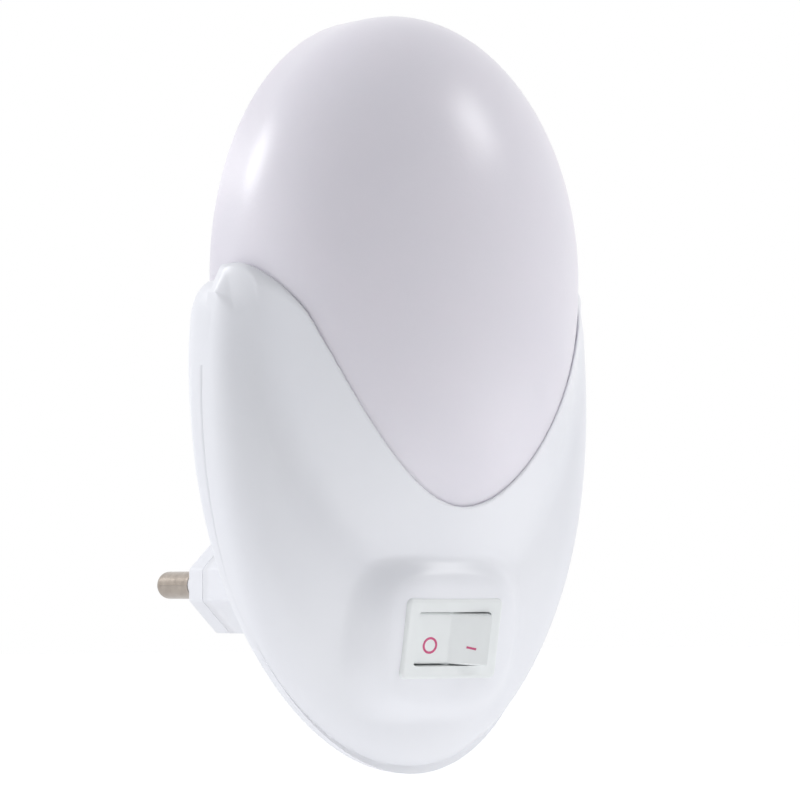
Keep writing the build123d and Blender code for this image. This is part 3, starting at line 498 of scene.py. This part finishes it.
def mark(name, path, width, side, close):
    """A strip of one width along a path, laid on one half of the rocker's top with its edges sunk in."""
    slope = side * half_slope
    along_top = rocker_across * np.cos(slope) + rocker_out * np.sin(slope)
    normal = rocker_out * np.cos(slope) - rocker_across * np.sin(slope)
    ahead = np.roll(path, -1, axis=0) - np.roll(path, 1, axis=0) if close else np.gradient(path, axis=0)
    sideways = np.stack([-ahead[:, 1], ahead[:, 0]], axis=-1) / np.hypot(*ahead.T)[:, None]
    offsets = np.array([-0.5, -ink_top_share, ink_top_share, 0.5]) * width
    lift = np.array([-ink_sink, ink_lift, ink_lift, -ink_sink])
    flat = path[None] + offsets[:, None, None] * sideways[None]
    place = pivot + middle_rise * rocker_out + flat[..., :1] * along_top + flat[..., 1:] * downward
    place = place + lift[:, None, None] * normal
    x, f, q = place[..., 0], parting_y - place[..., 1], place[..., 2] - oval_rise
    return grid_object(name, x, f, q, "rocker", close=close)


turns = np.linspace(0, 2 * np.pi, ring_points, endpoint=False)
ring = np.array(ring_centre) + np.array(ring_radii) * np.stack([np.cos(turns), np.sin(turns)], axis=-1)
off_ring = mark("off_ring", ring, ring_width, -1, True)
bar_rise = bar_level - np.linspace(bar_slant, -bar_slant, bar_points)
bar = np.stack([np.linspace(*bar_ends, bar_points), bar_rise], axis=-1)
on_bar = mark("on_bar", bar, bar_width, 1, False)

# %% [markdown]
# ## Material helpers
# Colours are written as hex values, as a paint chart gives them, and one function turns them to the linear
# values that shaders use. Another adds one node with its settings and links, so a material reads as a list
# of what goes into what. Every finish here is moulded, plated, coated or printed, so all share one recipe:
# two near colours in soft patches, and a fine grain. Painted images would need unwrapping and show their
# pixels.

# %% Colours and nodes
def linear(colour):
    """Each sRGB channel up to 0.04045 is divided by 12.92, others are ((v + 0.055) / 1.055)^2.4."""
    v = np.array([int(colour[k : k + 2], 16) for k in (1, 3, 5)]) / 255
    return (*np.where(v <= 0.04045, v / 12.92, ((v + 0.055) / 1.055) ** 2.4), 1.0)


def add_node(tree, kind, links=(), **settings):
    """A setting named like an input fills that input, any other is the node's own; links feed inputs."""
    made = tree.nodes.new(kind)
    for key, value in settings.items():
        if key in made.inputs:
            made.inputs[key].default_value = value
        else:
            setattr(made, key, value)
    for key, source in links:
        tree.links.new(source, made.inputs[key])
    return made


print("middle grey in linear values", np.round(linear("#808080"), 3))

# %% Recipe of a finish
patch_low, patch_high = 0.25, 0.75


def finish(name, light, dark, patch_mm, grain_mm, bump, rough, **surface):
    """Two near colours in soft patches, a roughness that drifts with them, and a fine grain as bump."""
    material = bpy.data.materials.new(name)
    material.use_nodes = True
    tree = material.node_tree
    shader = tree.nodes["Principled BSDF"]
    place = add_node(tree, "ShaderNodeTexCoord").outputs["Object"]
    coarse, fine = mm_per_metre / patch_mm, mm_per_metre / grain_mm
    patches = add_node(tree, "ShaderNodeTexNoise", [("Vector", place)], Scale=coarse, Detail=3.0)
    grain = add_node(tree, "ShaderNodeTexNoise", [("Vector", place)], Scale=fine, Detail=2.0)
    ramp = add_node(tree, "ShaderNodeValToRGB", [("Fac", patches.outputs["Fac"])])
    low, high = ramp.color_ramp.elements
    low.position, high.position = patch_low, patch_high
    low.color, high.color = linear(dark), linear(light)
    tree.links.new(ramp.outputs["Color"], shader.inputs["Base Color"])
    drift = add_node(tree, "ShaderNodeMapRange", [("Value", patches.outputs["Fac"])])
    drift.inputs["To Min"].default_value, drift.inputs["To Max"].default_value = rough
    tree.links.new(drift.outputs["Result"], shader.inputs["Roughness"])
    height = [("Height", grain.outputs["Fac"])]
    relief = add_node(tree, "ShaderNodeBump", height, Strength=1.0, Distance=bump * mm)
    tree.links.new(relief.outputs["Normal"], shader.inputs["Normal"])
    for key, value in surface.items():
        shader.inputs[key].default_value = value
    return material


def dress(material, *pieces):
    """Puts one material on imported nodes, given by name, and on new pieces."""
    for piece in pieces:
        mesh = nodes[piece].data if isinstance(piece, str) else piece.data
        mesh.materials.clear()
        mesh.materials.append(material)


print("patches change between", patch_low, "and", patch_high, "of the noise")

# %% [markdown]
# ## Plastics
# The diffuser is opal acrylic, moulded with a fine matt grain. Light goes a few millimetres into it, so its
# shading is soft and slightly lilac. The housing is white ABS from a spark-eroded mould. Both grains are
# really about a tenth of a millimetre, and are drawn coarser so that they show. The switch is moulded from
# harder nylon with a slightly greenish white.

# %% Plastics
# Opal acrylic: a soft satin, with light that spreads below the surface.
opal = finish(
    "opal_moulded_acrylic", "#E5E1E9", "#E3E0E8", 8.0, 0.7, 0.014, (0.28, 0.33),
    **{"IOR": 1.49, "Subsurface Weight": 0.25},
    **{"Subsurface Radius": (1.0, 0.9, 0.95), "Subsurface Scale": 0.004},
)
dress(opal, diffuser)
# Moulded ABS: an even white with a broad dull shine.
housing = finish("white_moulded_abs", "#E9EAEE", "#E6E7EC", 14.0, 0.3, 0.008, (0.30, 0.38), IOR=1.53)
dress(housing, cradle, leaning_back, *horn_ends, "plug_cap")
# Moulded nylon: a slightly greener white than the housing beside it.
switch_white = finish("white_moulded_nylon", "#E6E9E9", "#E1E4E4", 4.0, 0.22, 0.006, (0.30, 0.38), IOR=1.53)
dress(switch_white, "switch_frame", "rocker")
# Sleeve PVC: duller and softer than the moulded parts.
sleeve_white = finish("white_sleeve_pvc", "#E8E8EA", "#DFDFE3", 2.5, 0.2, 0.006, (0.42, 0.55), IOR=1.53)
dress(sleeve_white, "shank_sleeves")
# Printed ink: a matt film whose colour is a little uneven.
ink = finish("pink_red_print", "#CE5A86", "#BC3F70", 0.35, 0.12, 0.004, (0.45, 0.60), IOR=1.5)
dress(ink, off_ring, on_bar)
print("plastics", opal.name, housing.name, switch_white.name, sleeve_white.name, ink.name)

# %% [markdown]
# ## Metals and the hidden parts
# The pins are turned brass with a thin nickel plating, so they shine in a warm grey that is a little
# uneven. Inside are a brown laminate board, plated steel legs, lacquered resistors, two capacitors and
# coated wires. One plain grey would do while the shells are closed. Each part has its own colour, gloss and
# grain, because the inside shows when the shells are taken apart.

# %% Metals
def metal(name, light, dark, patch_mm, grain_mm, bump, rough):
    """A bare or plated metal: the same patches and grain, fully metallic."""
    return finish(name, light, dark, patch_mm, grain_mm, bump, rough, Metallic=1.0)


# Nickel plating: a warm grey mirror, slightly blurred.
nickel = metal("nickel_plated_brass", "#B8AEA4", "#A0968C", 1.6, 0.12, 0.003, (0.18, 0.30))
dress(nickel, "plug_pins")
# Stamped brass: yellow and duller, as rolled.
brass = metal("stamped_brass", "#C8A75C", "#B39248", 1.2, 0.15, 0.004, (0.25, 0.38))
dress(brass, "contact_lever", "centre_terminal", "end_terminal")
# Zinc plating: a cold grey with patches of different gloss.
steel = metal("zinc_plated_steel", "#B4B6BA", "#9EA0A6", 1.5, 0.15, 0.004, (0.25, 0.42))
dress(steel, "rocker_spring", "led_legs", "board_screws", "housing_screws")
print("metals", nickel.name, brass.name, steel.name)

# %% Hidden parts
# Lenses are glossy, sleeves and coated wires satin, and the board and black mouldings nearly matt.
hidden = {
    "paper_laminate_board": ("#A9804A", "#977040", 3.0, 0.4, 0.02, (0.5, 0.65), "circuit_board"),
    "clear_epoxy_lens": ("#F1F0DC", "#E9E7CC", 2.0, 0.3, 0.002, (0.08, 0.14), "led_lamps"),
    "yellow_film_capacitor": ("#C79A2E", "#B98C22", 3.0, 0.3, 0.01, (0.3, 0.4), "dropper_capacitor"),
    "dark_capacitor_sleeve": ("#22263C", "#1A1D30", 2.0, 0.3, 0.006, (0.3, 0.4), "smoothing_capacitor"),
    "black_moulded_epoxy": ("#1E1E20", "#151517", 2.0, 0.25, 0.015, (0.5, 0.65), "bridge_rectifier"),
    "resistor_lacquer": ("#B8946A", "#A98458", 1.5, 0.25, 0.008, (0.35, 0.5), "resistors"),
    "brown_wire_pvc": ("#5A3620", "#4C2C19", 2.0, 0.3, 0.006, (0.38, 0.5), "feed_wire"),
    "grey_wire_pvc": ("#8C8C8E", "#7E7E80", 2.0, 0.3, 0.006, (0.38, 0.5), "switched_wire"),
    "blue_wire_pvc": ("#25448C", "#1D3878", 2.0, 0.3, 0.006, (0.38, 0.5), "return_wire"),
    "black_shrink_sleeve": ("#202022", "#171718", 1.5, 0.25, 0.01, (0.5, 0.65), "terminal_sleeves"),
    "natural_moulded_nylon": ("#DAD5C4", "#CFCAB8", 1.5, 0.25, 0.006, (0.35, 0.45), "rocker_plunger"),
}
for name, (*recipe, node) in hidden.items():
    dress(finish(name, *recipe), node)
print("hidden materials", len(hidden))

# %% [markdown]
# ## Floor
# The photograph is a product picture on white. A bare white background would leave the object without a
# shadow, so there is a pale floor below the light, which hangs on its plug. Seen by the camera the floor
# gets a glow of its own, which makes it as white as the background and adds no light to the object.

# %% Floor
floor_half, floor_z, floor_glow = 3.0, -0.066, 0.32
floor_corners = [(a * floor_half, b * floor_half, floor_z) for a, b in ((-1, -1), (1, -1), (1, 1), (-1, 1))]
floor_mesh = bpy.data.meshes.new("floor")
floor_mesh.from_pydata(floor_corners, [], [(0, 1, 2, 3)])
floor = bpy.data.objects.new("floor", floor_mesh)
bpy.context.scene.collection.objects.link(floor)
paper = bpy.data.materials.new("white_paper_floor")
paper.use_nodes = True
tree = paper.node_tree
tree.nodes.clear()
seen = add_node(tree, "ShaderNodeLightPath")
matt = add_node(tree, "ShaderNodeBsdfDiffuse", Color=linear("#F8F8F8")).outputs["BSDF"]
glow = add_node(tree, "ShaderNodeEmission", Color=linear("#FFFFFF"), Strength=floor_glow).outputs["Emission"]
both = add_node(tree, "ShaderNodeAddShader", [(0, matt), (1, glow)]).outputs["Shader"]
pick = add_node(tree, "ShaderNodeMixShader", [("Fac", seen.outputs["Is Camera Ray"]), (1, matt), (2, both)])
add_node(tree, "ShaderNodeOutputMaterial", [("Surface", pick.outputs["Shader"])])
floor_mesh.materials.append(paper)
print("floor at", floor_z, "m")

# %% [markdown]
# ## Studio light
# On the real object the faces that look straight at the camera are the greyest, as large soft lights to the
# left and right make them. Many lamps could do that, but one world does it without edges. Its strength is a
# product of three factors of the direction: dim round the camera, brighter towards the lower left, and dim
# again behind. Camera, mirror and see-through rays get plain white instead, so metal shows the white
# background.

# %% World
dim_to, bright_to, behind_to = (-0.53, -0.84, 0.12), (-0.73, 0.17, -0.66), (0.25, 0.97, 0.0)
factors = (
    (dim_to, "SMOOTHSTEP", {"From Min": 0.10, "From Max": 0.93, "To Min": 1.20, "To Max": 0.02}),
    (bright_to, "LINEAR", {"From Min": -1.0, "From Max": 1.0, "To Min": 0.69, "To Max": 2.13}),
    (behind_to, "SMOOTHSTEP", {"From Min": 0.0, "From Max": 0.9, "To Min": 1.0, "To Max": 0.40}),
)
world = bpy.data.worlds.new("studio")
bpy.context.scene.world = world
world.use_nodes = True
tree = world.node_tree
tree.nodes.clear()
room = add_node(tree, "ShaderNodeTexCoord").outputs["Generated"]
strength = None
for towards, change, levels in factors:
    facing = add_node(tree, "ShaderNodeVectorMath", [("Vector", room)], operation="DOT_PRODUCT")
    facing.inputs[1].default_value = towards
    turned = [("Value", facing.outputs["Value"])]
    factor = add_node(tree, "ShaderNodeMapRange", turned, interpolation_type=change, **levels)
    result = factor.outputs["Result"]
    if strength is not None:
        product = add_node(tree, "ShaderNodeMath", [(0, strength), (1, result)], operation="MULTIPLY")
        result = product.outputs["Value"]
    strength = result
rays = add_node(tree, "ShaderNodeLightPath").outputs
plain = rays["Is Camera Ray"]
for kind in ("Is Glossy Ray", "Is Transmission Ray"):
    either = add_node(tree, "ShaderNodeMath", [(0, plain), (1, rays[kind])], operation="MAXIMUM")
    plain = either.outputs["Value"]
soft = add_node(tree, "ShaderNodeBackground", [("Strength", strength)], Color=linear("#FBFCFF"))
white = add_node(tree, "ShaderNodeBackground", Color=linear("#FFFFFF"), Strength=1.0)
both = [(1, soft.outputs["Background"]), (2, white.outputs["Background"])]
pick = add_node(tree, "ShaderNodeMixShader", [("Fac", plain), *both])
add_node(tree, "ShaderNodeOutputWorld", [("Surface", pick.outputs["Shader"])])
print("world of", len(factors), "factors")

# %% [markdown]
# ## Soft lights
# The diffuser shows two highlights, the images of two softboxes, and the mound and foot are lifted by light
# from below, as a white table throws it back. A mirrored picture of a studio would do too, but four small
# rectangles of light can be placed one by one.

# %% Soft lights
def soft_light(name, place, aim, size, power):
    """A rectangle of white light in metres and watts that looks from one point at another."""
    data = bpy.data.lights.new(name, "AREA")
    data.shape, data.size, data.size_y = "RECTANGLE", size[0], size[1]
    data.energy = power
    made = bpy.data.objects.new(name, data)
    bpy.context.scene.collection.objects.link(made)
    look = Vector(aim) - Vector(place)
    made.visible_camera = False
    made.matrix_world = Matrix.Translation(place) @ look.to_track_quat("-Z", "Y").to_matrix().to_4x4()
    print(name, power, "W")


middle, low_left_aim, low_right_aim = (0.0, -0.03, 0.027), (-0.005, -0.04, 0.0), (0.0, -0.04, 0.0)
soft_light("back_left_softbox", (-0.45, 0.51, 0.42), middle, (0.22, 0.20), 1.3)
soft_light("right_softbox", (0.44, -0.45, 0.58), middle, (0.23, 0.25), 1.45)
soft_light("low_left_softbox", (-0.03, -0.085, -0.064), low_left_aim, (0.16, 0.08), 0.036)
soft_light("low_right_softbox", (0.13, -0.15, -0.05), low_right_aim, (0.16, 0.08), 0.035)

# %% [markdown]
# ## Camera
# The photograph was taken from the left and slightly below the middle. The angles, the distance and the
# scale come from fitting the plug, the outline and the switch together. The camera is moved sideways until
# its aim falls on the pixel where the photograph shows it, so no shift is needed.

# %% Camera at the photograph's angle
azimuth, elevation, far = np.radians(-35.27), np.radians(-2.78), 0.5436
pixels_per_mm, seen_u, seen_v, frame_size = 7.19, 404.5, 390.6, 800
aim = np.array([0.0, -0.0284, 0.027])
right = np.array([np.cos(azimuth), np.sin(azimuth), 0])
level = np.cos(elevation)
back = np.array([np.sin(azimuth) * level, -np.cos(azimuth) * level, np.sin(elevation)])
up = np.cross(back, right)
aside = (seen_u - frame_size / 2) / pixels_per_mm * mm
above = (seen_v - frame_size / 2) / pixels_per_mm * mm
spot = aim + back * far - right * aside + up * above
lens = bpy.data.cameras.new("photo_camera")
lens.sensor_width = 36.0
lens.lens = lens.sensor_width * pixels_per_mm * far * mm_per_metre / frame_size
lens.clip_start, lens.clip_end = 0.01, 20
camera = bpy.data.objects.new("photo_camera", lens)
turned_rows = np.column_stack([right, up, back, spot]).tolist()
camera.matrix_world = Matrix([*turned_rows, [0, 0, 0, 1]])
bpy.context.scene.collection.objects.link(camera)
bpy.context.scene.camera = camera
print("camera", spot.round(4), "lens", round(lens.lens, 1))
